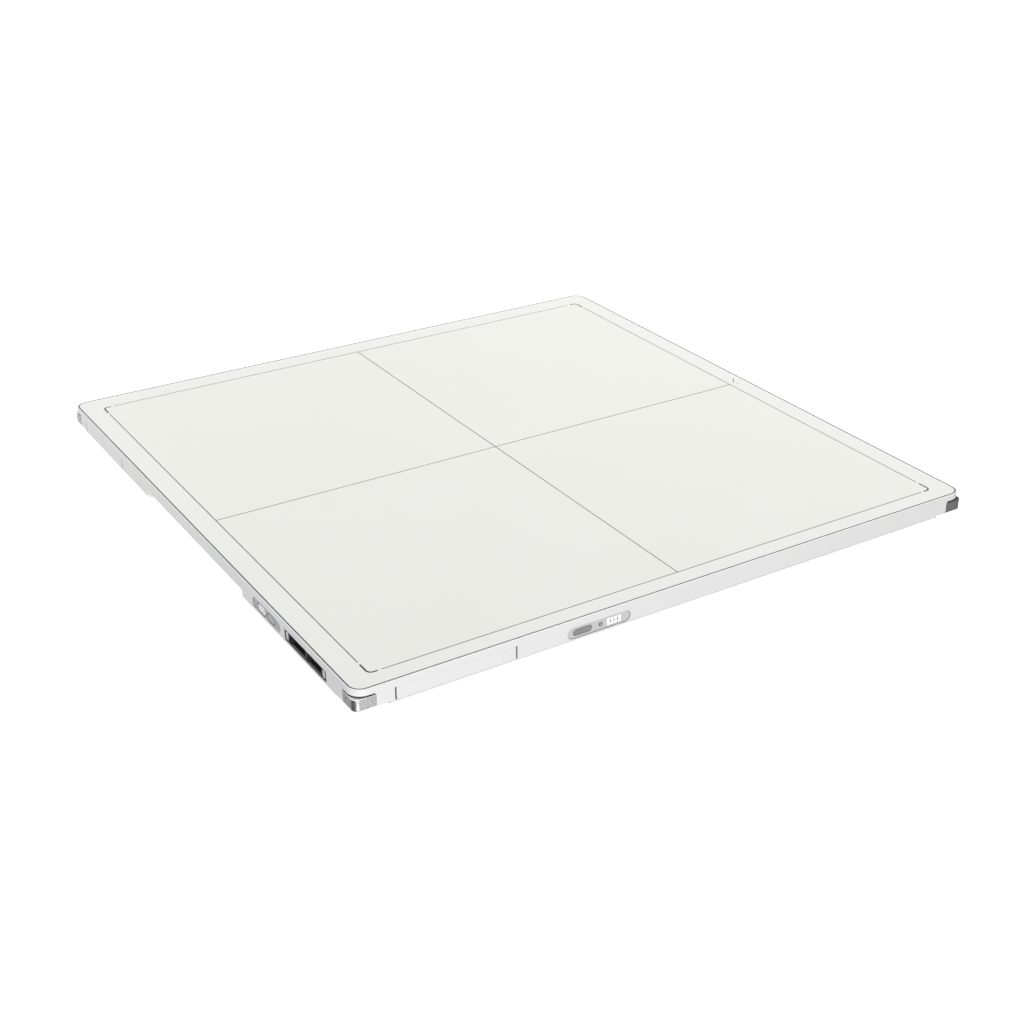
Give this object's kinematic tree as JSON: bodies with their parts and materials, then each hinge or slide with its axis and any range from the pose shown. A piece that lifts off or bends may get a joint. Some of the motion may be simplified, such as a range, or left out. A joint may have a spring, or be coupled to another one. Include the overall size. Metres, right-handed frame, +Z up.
{
  "type": "flat panel x-ray detector",
  "caption": "Thin square wireless x-ray detector with a white imaging face, metal corner guards, side keys, a tether connector and a removable battery underneath.",
  "frame": {"origin": "middle of the underside, on the plane that the detector rests on", "axes": "+X to the right along the wall with the status panel, seen from outside; +Y to the opposite wall; +Z up out of the imaging face"},
  "size_m": [0.46, 0.46, 0.015],
  "materials": {
    "frame_white": "satin white paint on a cast light alloy frame",
    "face_white": "satin white film over a carbon fibre plate",
    "seal_dark": "matte",
    "rear_white": "matte white moulded composite",
    "guard_metal": "satin, brushed",
    "screw_steel": "satin",
    "window_white": "satin, painted like the frame",
    "board_green": "satin solder resist on glass fibre",
    "chip_black": "matte",
    "panel_grey": "satin",
    "button_dark": "matte",
    "button_light": "matte",
    "light_guide": "milky, satin",
    "lens_blue_grey": "gloss",
    "connector_black": "satin",
    "contact_gold": "polished",
    "post_metal": "satin",
    "battery_grey": "matte, fine texture",
    "cell_foil": "satin foil",
    "bay_plastic": "matte",
    "latch_grey": "matte, ridged",
    "foam_grey": "matte foam",
    "scintillator_white": "matte",
    "panel_glass": "gloss",
    "lead_grey": "matte rolled sheet",
    "plate_alloy": "satin, as cast",
    "flex_amber": "gloss film",
    "lead_black": "matte"
  },
  "bodies": {
    "housing": {"antenna_board_front": "board_green", "antenna_board_left": "board_green", "antenna_leads": "lead_black", "antenna_window_front": "window_white", "antenna_window_left": "window_white", "base_plate": "plate_alloy", "base_plate_screws": "screw_steel", "battery_bay": "bay_plastic", "battery_contact_block": "bay_plastic", "battery_contacts": "contact_gold", "board_ribbons": "flex_amber", "board_screws": "screw_steel", "button_switches": "chip_black", "connector_body": "connector_black", "connector_guide_posts": "post_metal", "connector_pins": "contact_gold", "corner_guard_back_left": "guard_metal", "corner_guard_back_right": "guard_metal", "corner_guard_front_left": "guard_metal", "corner_guard_front_right": "guard_metal", "corner_guard_pads": "seal_dark", "corner_guard_screws": "screw_steel", "cover_seal": "seal_dark", "foam_sheet": "foam_grey", "front_cover": "face_white", "gate_board": "board_green", "gate_flex_chips": "chip_black", "gate_flexes": "flex_amber", "latch_retainers": "bay_plastic", "lead_sheet": "lead_grey", "main_board": "board_green", "main_board_chips": "chip_black", "panel_lamps": "light_guide", "power_bezel": "panel_grey", "power_board": "board_green", "power_board_parts": "chip_black", "power_lens": "lens_blue_grey", "power_panel_board": "board_green", "radio_board": "board_green", "radio_board_parts": "screw_steel", "readout_board": "board_green", "readout_board_chips": "chip_black", "readout_flex_chips": "chip_black", "readout_flexes": "flex_amber", "rear_cover": "rear_white", "rear_cover_screws": "screw_steel", "scintillator": "scintillator_white", "side_frame": "frame_white", "status_bezel": "panel_grey", "status_board": "board_green", "status_light_guide": "light_guide", "tft_glass_panel": "panel_glass"},
    "battery": {"battery_lid": "battery_grey", "battery_case": "battery_grey", "battery_cells": "cell_foil", "battery_terminals": "contact_gold"},
    "power_key": {"power_button": "button_light"},
    "status_key": {"status_button": "button_dark"},
    "latch_left": {"battery_latch_left": "latch_grey"},
    "latch_right": {"battery_latch_right": "latch_grey"}
  },
  "joints": [
    {"name": "power_key_press", "type": "slide", "parent": "housing", "child": "power_key", "axis": [1, 0, 0], "range_m": [0, 0.0006], "stiffness_N_per_m": 1500},
    {"name": "status_key_press", "type": "slide", "parent": "housing", "child": "status_key", "axis": [0, 1, 0], "range_m": [0, 0.0006], "stiffness_N_per_m": 1500},
    {"name": "latch_left_slide", "type": "slide", "parent": "housing", "child": "latch_left", "axis": [1, 0, 0], "range_m": [0, 0.003]},
    {"name": "latch_right_slide", "type": "slide", "parent": "housing", "child": "latch_right", "axis": [-1, 0, 0], "range_m": [0, 0.003]},
    {"name": "battery_removal", "type": "slide", "parent": "housing", "child": "battery", "axis": [0, 0, -1], "range_m": [0, 0.02]}
  ]
}
